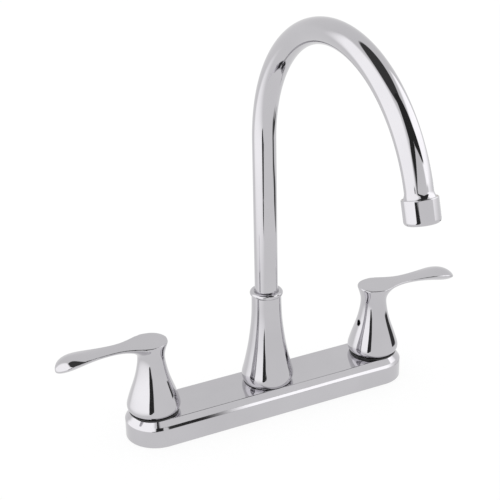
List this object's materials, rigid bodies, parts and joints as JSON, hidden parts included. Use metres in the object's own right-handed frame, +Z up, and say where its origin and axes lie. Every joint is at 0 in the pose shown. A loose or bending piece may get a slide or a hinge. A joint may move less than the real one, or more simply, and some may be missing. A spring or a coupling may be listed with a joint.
{
  "type": "kitchen faucet",
  "caption": "Deck-mounted kitchen faucet with a long chrome base plate, quarter-turn lever handles on bell-shaped hubs and a tall swivelling gooseneck spout with aerator.",
  "frame": {"origin": "on the deck under the middle of the base plate, at the lower face of the gasket", "axes": "+Z up out of the deck, +X along the base plate to the user's right, -Y towards the user and along the spout"},
  "size_m": [0.3556, 0.2477, 0.3976],
  "materials": {
    "chrome": "polished",
    "brass": "machined",
    "copper_tube": "drawn",
    "steel": "plain",
    "black_rubber": "matte",
    "black_plastic": "satin",
    "white_nylon": "moulded",
    "ceramic": "lapped"
  },
  "bodies": {
    "base": {"base_gasket": "black_rubber", "deck_plate": "chrome", "left_crossover_tube": "copper_tube", "right_crossover_tube": "copper_tube", "spout_post": "brass", "spout_base_ring": "black_plastic", "spout_base": "chrome", "spout_collar": "chrome", "spout_glide_washer": "white_nylon", "spout_thrust_washer": "white_nylon", "left_valve_body": "brass", "left_shank": "brass", "left_hub_ring": "black_plastic", "left_plate_nut": "brass", "left_cartridge_housing": "brass", "left_fixed_disc": "ceramic", "left_seat_seal": "black_rubber", "left_mounting_washer": "steel", "left_mounting_nut": "brass", "right_valve_body": "brass", "right_shank": "brass", "right_hub_ring": "black_plastic", "right_plate_nut": "brass", "right_cartridge_housing": "brass", "right_fixed_disc": "ceramic", "right_seat_seal": "black_rubber", "right_mounting_washer": "steel", "right_mounting_nut": "brass"},
    "left_handle_set": {"left_handle": "chrome", "left_set_screw": "steel", "left_cartridge_stem": "brass", "left_moving_disc": "ceramic", "left_stem_o_ring": "black_rubber"},
    "right_handle_set": {"right_handle": "chrome", "right_set_screw": "steel", "right_cartridge_stem": "brass", "right_moving_disc": "ceramic", "right_stem_o_ring": "black_rubber"},
    "spout": {"spout_tube": "chrome", "spout_end_fitting": "brass", "spout_o_rings": "black_rubber", "outlet_adapter": "brass", "aerator_housing": "chrome", "aerator_washer": "black_rubber", "aerator_insert": "white_nylon", "aerator_screen": "steel"}
  },
  "joints": [
    {"name": "left_handle_turn", "type": "hinge", "parent": "base", "child": "left_handle_set", "pos_m": [-0.1016, 0, 0.03], "axis": [0, 0, 1], "range_deg": [0, 90]},
    {"name": "right_handle_turn", "type": "hinge", "parent": "base", "child": "right_handle_set", "pos_m": [0.1016, 0, 0.03], "axis": [0, 0, 1], "range_deg": [-90, 0]},
    {"name": "spout_swivel", "type": "hinge", "parent": "base", "child": "spout", "pos_m": [0, 0, 0.06], "axis": [0, 0, 1], "continuous": true}
  ]
}
